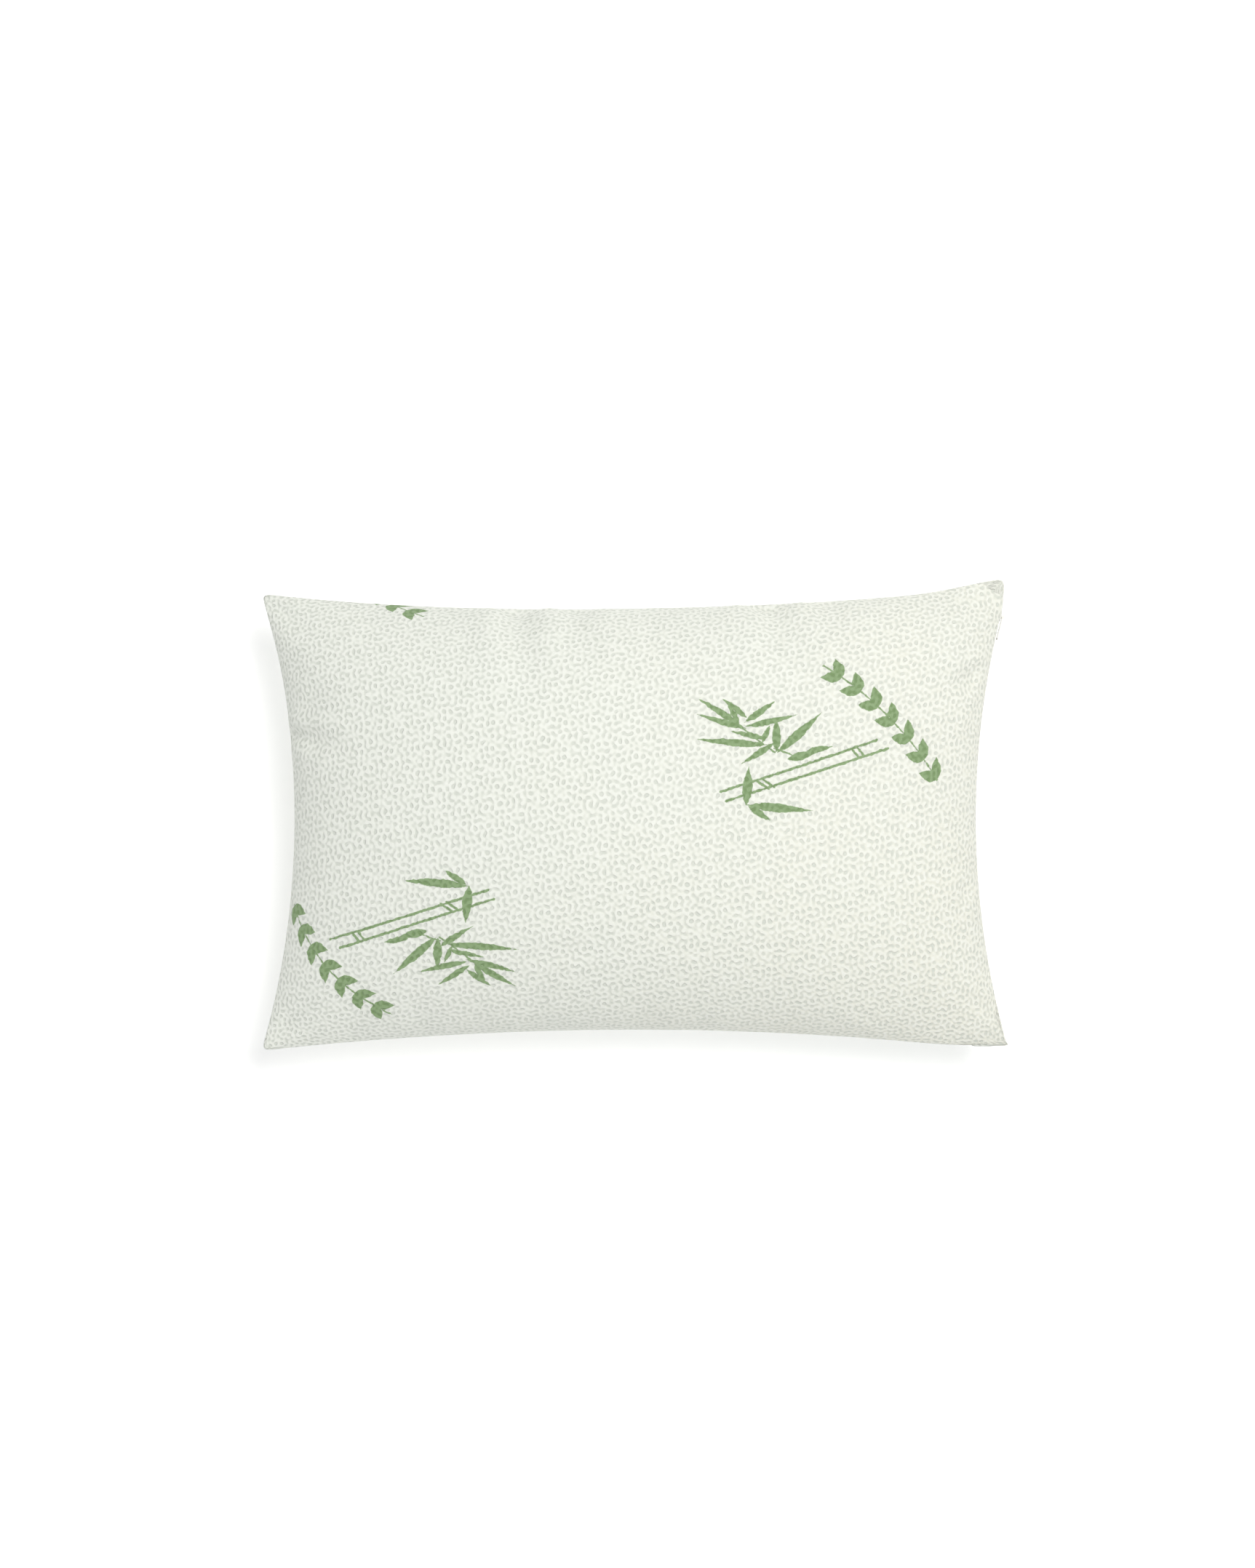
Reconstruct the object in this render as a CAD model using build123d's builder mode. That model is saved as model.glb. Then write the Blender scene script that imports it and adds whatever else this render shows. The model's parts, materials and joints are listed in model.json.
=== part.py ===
# Queen bed pillow: a zipped knit cover over a sewn liner full of shredded foam.
# Millimetres. +Z is up, the pillow lies on its back panel, and the origin is on the
# surface it rests on, under the middle of the pillow. The zip is in the +X short side.
from build123d import *
from math import comb, cos, degrees, radians, sin
import os

# ---- driving dimensions ----
half_length = 347.0  # centre to a corner along X
half_width = 217.0  # centre to a corner along Y
short_side_sag = 31.0  # how far a short side draws in between its corners
long_side_sag = 21.0  # how far a long side draws in between its corners
seam_height = 72.0  # height of the seam that joins the two panels
front_rise = 100.0  # crown of the front panel above the seam
back_drop = 78.0  # depth of the back panel below the seam, before the floor flattens it
edge_fullness = 0.95  # 1 would make the panels stand upright on the seam

panel_thickness = 1.6  # quilted knit
seam_allowance = 10.0  # turned-in edge of the cover's seam
allowance_thickness = 1.2
allowance_corner_gap = 26.0  # the turned-in edge is clipped this far from each corner
thread = 0.4
overlock_width = 3.0  # how far the overlock thread reaches over a free edge

liner_inset = 16.0  # liner is cut this much smaller than the cover on every side
liner_clearance = 1.4
liner_thickness = 0.8
liner_lip = 4.0  # outward serged edge of the liner
liner_overlock_width = 2.4
fill_clearance = 0.6

zip_half_angle = 14.6  # half the zip's length, seen from the centre of the side's arc
zip_gap = 3.6  # half the opening that the chain lies in
zip_end_clearance = 0.15  # degrees that the opening runs past the tapes at each end
chain_depth = 1.0  # chain lies this far behind the outline
chain_thickness = 2.0
chain_half_width = 2.5
chain_slot = 0.6  # half the slot that the slider's divider passes through
tape_thickness = 0.6
tape_flat = 2.8  # height over the seam where a tape starts to lean inwards
tape_lean = 9.6
tape_reach = 7.0
tack_length = 2.6  # bar tack across each end of the chain

slider_angle = 14.0  # parked place of the slider, at the closed end
slider_length = 9.0
slider_half_width = 3.2
slider_clearance = 0.2
plate_thickness = 1.2
outer_plate_corner = 1.6
inner_plate_corner = 1.2
plate_edge_radius = 0.4
flange_shortening = 3.2  # flanges stop short of the plates' rounded corners
divider_length = 1.6
divider_setback = 1.2  # from the closed end of the slider to the divider's middle
pull_length = 22.0
pull_width = 5.0
pull_thickness = 1.0
pull_taper = 0.6  # how much narrower the pull is on each side at its tip
pull_hole_length = 4.4
pull_hole_width = 1.8
bail_bore = 0.95
bail_wall = 1.0
bail_width = 1.4
bail_clearance = 0.3  # the crossbar's room over the plate
window_clearance = 0.35
crossbar_radius = 0.6

# ---- values that follow from them ----
# A short side is an arc through its two corners; the zip's parts turn about its centre.
side_radius = (half_width**2 + short_side_sag**2) / (2 * short_side_sag)
arc_x = half_length - short_side_sag + side_radius
zip_axis = Axis((arc_x, 0, 0), (0, 0, 1))
chain_outer = side_radius + chain_depth
chain_inner = chain_outer + chain_thickness
tape_inner = chain_inner + tape_thickness
degrees_per_mm = degrees(1 / side_radius)

os.makedirs("parts", exist_ok=True)
nodes = []


def save(builder, name):
    builder.part.label = name
    export_step(builder.part, f"parts/{name}.step")
    nodes.append(name)


# ---- crowned forms of the soft pieces ----
def product(first, second):
    # Bezier values of the product of two Bezier polynomials
    n, m = len(first) - 1, len(second) - 1
    return [
        sum(
            comb(n, i) * comb(m, k - i) * first[i] * second[k - i]
            for i in range(max(0, k - m), min(n, k) + 1)
        )
        / comb(n + m, k)
        for k in range(n + m + 1)
    ]


across = [-1, -edge_fullness, edge_fullness, 1]  # place between two opposite edges
across_squared = product(across, across)
across_even = product(across, [1] * 4)  # the same curve, with seven values
arch = product([0, 2, 0], [1] * 5)  # height from edge to edge, 1 in the middle


def crowned_form(inset, rise):
    # Closed solid between the seam plane and one crowned skin that meets the plane
    # along four bowed sides; a negative rise crowns downwards
    reach_x, reach_y = half_length - inset, half_width - inset
    net = [
        [
            (
                across_even[i] * (reach_x - short_side_sag * (1 - across_squared[j])),
                across_even[j] * (reach_y - long_side_sag * (1 - across_squared[i])),
                seam_height + rise * arch[i] * arch[j],
            )
            for i in range(7)
        ]
        for j in range(7)
    ]
    skin = Face.make_bezier_surface(net)
    return Solid(Shell([skin, Face(skin.outer_wire())]))


def outline(inset, mode=Mode.ADD):
    # Plan outline drawn in by an inset, as four arcs, inside a BuildSketch block
    x, y = half_length - inset, half_width - inset
    mid_x, mid_y = x - short_side_sag, y - long_side_sag
    with BuildLine() as sides:
        ThreePointArc((x, -y), (mid_x, 0), (x, y))
        ThreePointArc((x, y), (0, mid_y), (-x, y))
        ThreePointArc((-x, y), (-mid_x, 0), (-x, -y))
        ThreePointArc((-x, -y), (0, -mid_y), (x, -y))
    make_face(sides.edges(), mode=mode)


def three_sided_band(outer_inset, inner_inset, low, high, mode=Mode.ADD):
    # Flat band inside the three sewn sides, clear of the corners and of the zip's side
    gap = 2 * allowance_corner_gap
    with BuildSketch(Plane.XY.offset(seam_height + low)) as band:
        outline(outer_inset)
        outline(inner_inset, mode=Mode.SUBTRACT)
        with GridLocations(2 * half_length, 2 * half_width, 2, 2):
            Rectangle(gap, gap, mode=Mode.SUBTRACT)
        with Locations((half_length, 0)):
            Rectangle(4 * short_side_sag, 2 * half_width, mode=Mode.SUBTRACT)
    extrude(band.sketch, amount=high - low, mode=mode)


def ring(outer_inset, inner_inset, low, high, mode=Mode.ADD):
    # Flat band all round the seam plane
    with BuildSketch(Plane.XY.offset(seam_height + low)) as band:
        outline(outer_inset)
        outline(inner_inset, mode=Mode.SUBTRACT)
    extrude(band.sketch, amount=high - low, mode=mode)


# ---- zip geometry ----
def radial_plane(angle):
    # Plane through the arc's axis: local X is the radius, local Y is height over the seam
    out = (-cos(radians(angle)), sin(radians(angle)), 0)
    along = (sin(radians(angle)), cos(radians(angle)), 0)
    return Plane(origin=(arc_x, 0, seam_height), x_dir=out, z_dir=along)


def arc_band(points, start, end, mode=Mode.ADD):
    # Solid that follows the side's arc from one angle to another, with this section
    with BuildSketch(radial_plane(start)) as profile:
        with BuildLine():
            Polyline(*points, close=True)
        make_face()
    revolve(profile.sketch, axis=zip_axis, revolution_arc=start - end, mode=mode)


def section(r_low, r_high, z_low, z_high):
    return [(r_low, z_low), (r_high, z_low), (r_high, z_high), (r_low, z_high)]


# ---- cover ----
zip_opening = section(side_radius - 4, chain_inner + 4, -zip_gap, zip_gap)
opening_angle = zip_half_angle + zip_end_clearance

with BuildPart() as cover_front_panel:
    add(crowned_form(0, front_rise))
    add(crowned_form(panel_thickness, front_rise - panel_thickness), mode=Mode.SUBTRACT)
    three_sided_band(panel_thickness / 2, seam_allowance, 0, allowance_thickness)
    arc_band(zip_opening, opening_angle, -opening_angle, mode=Mode.SUBTRACT)
save(cover_front_panel, "cover_front_panel")

with BuildPart() as cover_back_panel:
    add(crowned_form(0, -back_drop))
    split(bisect_by=Plane.XY)
    with BuildPart(mode=Mode.PRIVATE) as hollow:
        add(crowned_form(panel_thickness, panel_thickness - back_drop))
        split(bisect_by=Plane.XY.offset(panel_thickness))
    add(hollow.part, mode=Mode.SUBTRACT)
    three_sided_band(panel_thickness / 2, seam_allowance, -allowance_thickness, 0)
    arc_band(zip_opening, opening_angle, -opening_angle, mode=Mode.SUBTRACT)
save(cover_back_panel, "cover_back_panel")

# Overlock thread wraps the free edge of both turned-in allowances on three sides
with BuildPart() as cover_overlock_thread:
    wrap = allowance_thickness + thread
    outer_inset = seam_allowance - overlock_width
    three_sided_band(outer_inset, seam_allowance + thread, -wrap, wrap)
    three_sided_band(
        outer_inset - 1,
        seam_allowance,
        -allowance_thickness,
        allowance_thickness,
        mode=Mode.SUBTRACT,
    )
save(cover_overlock_thread, "cover_overlock_thread")

# ---- zip, one half above the seam plane and one below ----
chain_end = zip_half_angle - tack_length * degrees_per_mm

for half, side in (("front", 1), ("back", -1)):
    with BuildPart() as tape:
        # runs flat behind the chain, then leans away from the panel it is sewn to
        tape_profile = [
            (chain_inner, side * chain_slot),
            (chain_inner, side * tape_flat),
            (chain_inner + tape_lean, side * tape_reach),
            (tape_inner + tape_lean, side * (tape_reach - tape_thickness)),
            (tape_inner, side * (tape_flat - tape_thickness / 3)),
            (tape_inner, side * chain_slot),
        ]
        arc_band(tape_profile, zip_half_angle, -zip_half_angle)
    save(tape, f"zipper_tape_{half}")

    with BuildPart() as coil:
        low, high = sorted((side * chain_slot, side * chain_half_width))
        arc_band(section(chain_outer, chain_inner, low, high), chain_end, -chain_end)
        outer_edges = coil.edges().filter_by(GeomType.CIRCLE).group_by(SortBy.LENGTH)[0]
        fillet(outer_edges, radius=0.5)
    save(coil, f"zipper_coil_{half}")

    with BuildPart() as stitching:
        # lockstitch on the free edge of the tape
        low, high = sorted((side * tape_reach, side * (tape_reach + thread)))
        r = chain_inner + tape_lean
        arc_band(section(r, r + thread, low, high), zip_half_angle, -zip_half_angle)
    save(stitching, f"zipper_stitching_{half}")

for end, side in (("closed", 1), ("open", -1)):
    with BuildPart() as tack:
        start, stop = sorted((side * zip_half_angle, side * (chain_end + 0.02)), reverse=True)
        block = section(chain_outer - thread, chain_inner, -chain_half_width, chain_half_width)
        arc_band(block, start, stop)
    save(tack, f"zipper_{end}_end_tack")

# ---- slider and its pull ----
park_out = (cos(radians(slider_angle)), -sin(radians(slider_angle)), 0)
park_along = (sin(radians(slider_angle)), cos(radians(slider_angle)), 0)
chain_middle = chain_outer + chain_thickness / 2


def park_plane(lift, facing="out"):
    # Plane at the parked slider, lifted outwards from the chain's middle. Facing out, its
    # local X runs to the closed end and Y is up; facing down, local Y is outwards.
    radius = chain_middle - lift
    spot = (arc_x - radius * park_out[0], -radius * park_out[1], seam_height)
    normal = park_out if facing == "out" else (0, 0, -1)
    return Plane(origin=spot, x_dir=park_along, z_dir=normal)


plate_low = chain_thickness / 2 + slider_clearance
plate_high = plate_low + plate_thickness
tape_back = -chain_thickness / 2 - tape_thickness - slider_clearance
bail_lift = plate_high + bail_bore + bail_clearance
flange_low = -chain_thickness / 2 + slider_clearance
flange_y = chain_half_width + slider_clearance
flange_thickness = slider_half_width - flange_y
divider_width = 2 * (chain_slot - slider_clearance)

with BuildPart() as slider_body:
    with BuildSketch(park_plane(plate_low)):
        RectangleRounded(slider_length, 2 * slider_half_width, outer_plate_corner)
    extrude(amount=plate_thickness)
    fillet(slider_body.faces().sort_by(Axis.X)[-1].edges(), radius=plate_edge_radius)
    with BuildSketch(park_plane(tape_back - plate_thickness)):
        RectangleRounded(slider_length, 2 * tape_flat - slider_clearance, inner_plate_corner)
    extrude(amount=plate_thickness)
    with BuildSketch(park_plane(flange_low)):
        with GridLocations(0, 2 * flange_y + flange_thickness, 1, 2):
            Rectangle(slider_length - flange_shortening, flange_thickness)
    extrude(amount=plate_low - flange_low)
    with BuildSketch(park_plane(tape_back)):
        with Locations((slider_length / 2 - divider_setback, 0)):
            SlotOverall(divider_length, divider_width)
    extrude(amount=plate_low - tape_back)
    with BuildSketch(park_plane(bail_lift, "down")):
        Circle(bail_bore + bail_wall)
        with Locations((0, -(bail_bore + bail_clearance) / 2)):
            Rectangle(2 * (bail_bore + bail_wall), bail_bore + bail_clearance)
        Circle(bail_bore, mode=Mode.SUBTRACT)
    extrude(amount=bail_width / 2, both=True)
save(slider_body, "slider_body")

with BuildPart() as pull_tab:
    window_length = bail_bore + bail_wall + window_clearance
    window_width = bail_width + 2 * bail_clearance
    with BuildSketch(park_plane(bail_lift)) as tab:
        with BuildLine():
            tip = pull_width / 2 - pull_taper
            neck = Line((0, pull_width / 2), (-pull_length + tip, tip))
            Line((0, pull_width / 2), (0, -pull_width / 2))
            Line((0, -pull_width / 2), (-pull_length + tip, -tip))
            ThreePointArc((-pull_length + tip, -tip), (-pull_length, 0), neck @ 1)
        make_face()
        with Locations((-window_length / 2, 0)):
            Rectangle(window_length, window_width, mode=Mode.SUBTRACT)
        with Locations((-pull_length + pull_hole_length, 0)):
            SlotOverall(pull_hole_length, pull_hole_width, mode=Mode.SUBTRACT)
    extrude(amount=pull_thickness / 2, both=True)
    bar = Plane(
        origin=park_plane(bail_lift).origin - Vector(0, 0, pull_width / 2), z_dir=(0, 0, 1)
    )
    with BuildSketch(bar):
        Circle(crossbar_radius)
    extrude(amount=pull_width)
save(pull_tab, "pull_tab")

# ---- liner ----
liner_rise = front_rise - panel_thickness - liner_clearance
liner_drop = back_drop - panel_thickness - liner_clearance
liner_floor = panel_thickness + liner_clearance
lip_inset = liner_inset - liner_lip

with BuildPart() as liner_front_panel:
    add(crowned_form(liner_inset, liner_rise))
    inner_skin = crowned_form(liner_inset + liner_thickness, liner_rise - liner_thickness)
    add(inner_skin, mode=Mode.SUBTRACT)
    ring(lip_inset, liner_inset + liner_thickness / 2, 0, liner_thickness)
save(liner_front_panel, "liner_front_panel")

with BuildPart(mode=Mode.PRIVATE) as liner_hollow:
    add(crowned_form(liner_inset + liner_thickness, liner_thickness - liner_drop))
    split(bisect_by=Plane.XY.offset(liner_floor + liner_thickness))

with BuildPart() as liner_back_panel:
    add(crowned_form(liner_inset, -liner_drop))
    split(bisect_by=Plane.XY.offset(liner_floor))
    add(liner_hollow.part, mode=Mode.SUBTRACT)
    ring(lip_inset, liner_inset + liner_thickness / 2, -liner_thickness, 0)
save(liner_back_panel, "liner_back_panel")

with BuildPart() as liner_overlock_thread:
    wrap = liner_thickness + thread
    reach = lip_inset + liner_overlock_width
    ring(lip_inset - thread, reach, -wrap, wrap)
    ring(lip_inset, reach + 1, -liner_thickness, liner_thickness, mode=Mode.SUBTRACT)
save(liner_overlock_thread, "liner_overlock_thread")

# ---- blank sewn-in labels, hidden inside the cover ----
label_thickness = 0.5
label_drop = 13.0
care_label_start = -7.0  # degrees along the side's arc
care_label_width = 32.0
care_label_lean = 9.0
law_label_start = 8.0
law_label_width = 50.0
law_label_lean = 4.0
label_clearance = 0.8


def hanging_label(name, top_r, top_z, lean, start, width):
    # Folded strip that hangs from a seam, leans inwards and follows the side's arc
    end = start - width * degrees_per_mm
    strip = [
        (top_r, top_z),
        (top_r + lean, top_z - label_drop),
        (top_r + lean + label_thickness, top_z - label_drop),
        (top_r + label_thickness, top_z),
    ]
    with BuildPart() as label:
        arc_band(strip, start, end)
    save(label, name)


care_label_r = chain_inner + tape_lean + label_clearance
care_label_z = -tape_reach - label_clearance
law_label_r = side_radius + lip_inset + 1.0
law_label_z = -liner_thickness - thread - 0.2
hanging_label(
    "cover_care_label",
    care_label_r,
    care_label_z,
    care_label_lean,
    care_label_start,
    care_label_width,
)
hanging_label(
    "liner_law_label",
    law_label_r,
    law_label_z,
    law_label_lean,
    law_label_start,
    law_label_width,
)

# ---- fill: shredded foam, as the space it packs ----
fill_inset = liner_inset + liner_thickness + fill_clearance
fill_rise = liner_rise - liner_thickness - fill_clearance
fill_drop = liner_drop - liner_thickness - fill_clearance

with BuildPart() as foam_fill:
    add(crowned_form(fill_inset, fill_rise))
    add(crowned_form(fill_inset, -fill_drop))
    split(bisect_by=Plane.XY.offset(liner_floor + liner_thickness + fill_clearance))
save(foam_fill, "foam_fill")

print(len(nodes), "nodes:", ", ".join(nodes))
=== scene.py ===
import bmesh
import bpy
import json
import random
from math import asin, cos, exp, hypot, pi, radians, sin, sqrt
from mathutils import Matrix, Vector, noise


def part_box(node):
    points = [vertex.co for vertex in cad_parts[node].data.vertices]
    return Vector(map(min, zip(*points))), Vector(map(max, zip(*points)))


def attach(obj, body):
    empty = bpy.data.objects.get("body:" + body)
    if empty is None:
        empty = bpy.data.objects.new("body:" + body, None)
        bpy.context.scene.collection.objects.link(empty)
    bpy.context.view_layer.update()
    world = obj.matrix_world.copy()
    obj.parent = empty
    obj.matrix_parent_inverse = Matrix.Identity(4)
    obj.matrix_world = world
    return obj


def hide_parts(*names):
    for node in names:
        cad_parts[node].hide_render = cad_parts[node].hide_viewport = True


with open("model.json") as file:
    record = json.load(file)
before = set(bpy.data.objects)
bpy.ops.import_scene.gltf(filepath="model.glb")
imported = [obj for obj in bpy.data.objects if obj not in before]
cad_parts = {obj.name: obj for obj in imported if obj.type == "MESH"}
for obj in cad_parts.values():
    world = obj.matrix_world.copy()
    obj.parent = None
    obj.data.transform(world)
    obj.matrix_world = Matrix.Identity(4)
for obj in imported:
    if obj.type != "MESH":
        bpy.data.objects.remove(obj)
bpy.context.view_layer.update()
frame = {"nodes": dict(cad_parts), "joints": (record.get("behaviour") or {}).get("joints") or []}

random.seed(7)

# the places below come from the frame, in metres
frontLow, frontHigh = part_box("cover_front_panel")
halfLength, halfWidth = frontHigh.x, frontHigh.y
seamZ = frontLow.z
slideJoint = next(j for j in frame["joints"] if j["name"] == "zipper_slide")
arcX = slideJoint["pos_m"][0]
arcR = hypot(arcX - halfLength, halfWidth)  # the short sides are arcs of this radius
shortSag = halfLength - (arcX - arcR)  # how far a short side draws in
seamPoints = [v.co for v in frame["nodes"]["cover_front_panel"].data.vertices if v.co.z < seamZ + 1e-4]
longSag = halfWidth - max(p.y for p in seamPoints if abs(p.x) < 0.03)

cover = {
    "columns": 124, "rows": 80,
    "cutLength": 0.735, "cutWidth": 0.505,  # the flat cut, inside the seam
    "frontRise": 0.0995, "backDrop": 0.0775,
    "lip": 0.0013,  # height of a panel's folded edge over the seam
    "zipLip": 0.0033,  # how much further apart the folded edges stand along the zip
    "zipLipEnd": 0.206, "zipLipFade": 0.0095,
    "earRadius": 0.0075,
    "thickness": 0.0013,
    "crownSpread": 0.7,  # how far in from the seam the grid takes up the crown's spacing
    "seedLump": 0.006,  # size of the slight puckers that the cloth starts with
    # those puckers beside a short and a long seam: reach in, waves along x and along y, and a seed
    "shortPucker": (0.06, 6, 32, 3.1),
    "longPucker": (0.05, 30, 6, 7.7),
    "bearing": 0.004,  # how gradually the flat face on the floor turns up
    "frames": 30, "quality": 6, "mass": 0.004, "pressure": 12, "tension": 20, "compression": 5,
    "shear": 4, "bending": 2, "damping": 1, "air": 1,
}


def smooth(x):
    x = min(max(x, 0.0), 1.0)
    return x * x * (3 - 2 * x)


def mix(a, b, k):
    return a + (b - a) * k


def evenAngles(width, height, count):
    # angles that split a half ellipse, width by height, into equal lengths from -90 to 90 degrees
    fine = 2000
    turns = [pi * (i / fine - 0.5) for i in range(fine + 1)]
    run = [0.0]
    for a, b in zip(turns, turns[1:]):
        run.append(run[-1] + hypot(width * (sin(b) - sin(a)), height * (cos(b) - cos(a))))
    found, k = [], 0
    for i in range(count + 1):
        while k < fine - 1 and run[k + 1] < run[-1] * i / count:
            k += 1
        part = (run[-1] * i / count - run[k]) / (run[k + 1] - run[k])
        found.append(mix(turns[k], turns[k + 1], part))
    return found


def reachX(y):
    # half the pillow's length at a place across it
    return arcX - sqrt(arcR ** 2 - y * y)


def reachY(x):
    return halfWidth - longSag * (1 - (x / halfLength) ** 2)


ears = [
    # a corner's own pull: its signs in x and y, how far it moves in x and y, reach along x and along y
    (1, 1, -0.003, 0.006, 0.10, 0.024),
    (-1, 1, 0.000, -0.008, 0.46, 0.110),
    (1, -1, 0.0022, 0.005, 0.11, 0.010),
    (-1, -1, 0.000, 0.001, 0.20, 0.060),
]


def settle(x, y):
    # the outline is a little uneven, as a stuffed cover is; the stretch beside the zip stays true
    for signX, signY, dx, dy, spanX, spanY in ears:
        k = smooth((signX * x - halfLength + spanX) / spanX) * smooth((signY * y - halfWidth + spanY) / spanY)
        x, y = x + dx * k, y + dy * k
    return x, y


def lipAt(x, y):
    # how far the folded edge stands off the seam plane: wider beside the zip
    nearZip = smooth((x - 0.29) / 0.02) * smooth((cover["zipLipEnd"] - abs(y)) / cover["zipLipFade"])
    return cover["lip"] + cover["zipLip"] * nearZip


def roundEar(x, y):
    # draw the square tip of a corner in to a round one
    r = cover["earRadius"]
    inX, inY = reachX(y) - abs(x), reachY(x) - abs(y)
    if inX < r and inY < r:
        a, b = r - inX, r - inY
        k = max(a, b) / max(hypot(a, b), 1e-9)
        x -= (a - a * k) * (1 if x > 0 else -1)
        y -= (b - b * k) * (1 if y > 0 else -1)
    return x, y


def panelMesh(name, side, rise):
    # one panel on its grid: start shape, and its flat cut as UV map and as rest shape
    cols, rows = cover["columns"], cover["rows"]
    bm = bmesh.new()
    bmesh.ops.create_grid(bm, x_segments=cols, y_segments=rows, size=1)
    around = evenAngles(halfLength - shortSag, rise, cols)
    along = evenAngles(halfWidth - longSag, rise, rows)
    uv = bm.loops.layers.uv.new("cut")
    for f in bm.faces:
        for loop in f.loops:
            u, v = loop.vert.co.x * cover["cutLength"] / 2, loop.vert.co.y * cover["cutWidth"] / 2
            loop[uv].uv = (u, v) if side > 0 else (-u, v)
    flat = {}
    for v in bm.verts:
        s, t = v.co.x, v.co.y
        a = around[round((s + 1) / 2 * cols)]
        b = along[round((t + 1) / 2 * rows)]
        # along the seam the points are evenly spaced, and in the middle they follow the crown
        px = halfLength * mix(s, sin(a), max(cos(b), 0) ** cover["crownSpread"])
        py = halfWidth * mix(t, sin(b), max(cos(a), 0) ** cover["crownSpread"])
        px, py = px * reachX(py) / halfLength, py * reachY(px) / halfWidth
        edge = abs(s) > 1 - 1e-6 or abs(t) > 1 - 1e-6
        px, py = roundEar(px, py)
        lip = lipAt(px, py)
        # slight puckers square to the seams, which the cloth then gathers along
        lump = 0
        for inward, kind in ((halfLength - abs(px), "shortPucker"), (halfWidth - abs(py), "longPucker")):
            reach, wavesX, wavesY, seed = cover[kind]
            lump += exp(-(inward / reach) ** 2) * noise.noise((px * wavesX, py * wavesY, side * seed))
        lump = 0 if edge else cover["seedLump"] * lump
        pz = seamZ + side * (lip + (rise - lip) * cos(a) * cos(b)) + lump
        flat[v.index] = (s * cover["cutLength"] / 2, t * cover["cutWidth"] / 2)
        v.co = (px, py, pz)
    if side < 0:
        bmesh.ops.reverse_faces(bm, faces=bm.faces)
    mesh = bpy.data.meshes.new(name)
    bm.to_mesh(mesh)
    bm.free()
    return mesh, flat


def inflate(mesh, flat):
    # cloth under pressure, sewn down along its border, cut flat at rest
    body = bpy.data.objects.new("simPanel", mesh)
    bpy.context.scene.collection.objects.link(body)
    pins = body.vertex_groups.new(name="pins")
    farU, farV = cover["cutLength"] / 2 - 1e-6, cover["cutWidth"] / 2 - 1e-6
    pins.add([i for i, (u, v) in flat.items() if abs(u) > farU or abs(v) > farV], 1.0, "REPLACE")
    body.shape_key_add(name="Basis")
    rest = body.shape_key_add(name="cut")
    for i, (u, v) in flat.items():
        rest.data[i].co = (u, v, 0)
    modifier = body.modifiers.new("cloth", "CLOTH")
    c = modifier.settings
    c.quality = cover["quality"]
    c.mass = cover["mass"]
    c.tension_stiffness = cover["tension"]
    c.compression_stiffness = cover["compression"]
    c.shear_stiffness = cover["shear"]
    c.bending_stiffness = cover["bending"]
    c.tension_damping = c.compression_damping = c.shear_damping = cover["damping"]
    c.bending_damping = cover["damping"]
    c.air_damping = cover["air"]
    c.vertex_group_mass = "pins"
    c.rest_shape_key = rest
    c.use_pressure = True
    c.uniform_pressure_force = cover["pressure"]
    c.effector_weights.gravity = 0
    modifier.collision_settings.use_collision = False
    modifier.point_cache.frame_start = 1
    modifier.point_cache.frame_end = cover["frames"]
    for f in range(1, cover["frames"] + 1):
        bpy.context.scene.frame_set(f)
    graph = bpy.context.evaluated_depsgraph_get()
    result = bpy.data.meshes.new_from_object(body.evaluated_get(graph))
    bpy.context.scene.frame_set(1)
    bpy.data.objects.remove(body)
    return result


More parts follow.
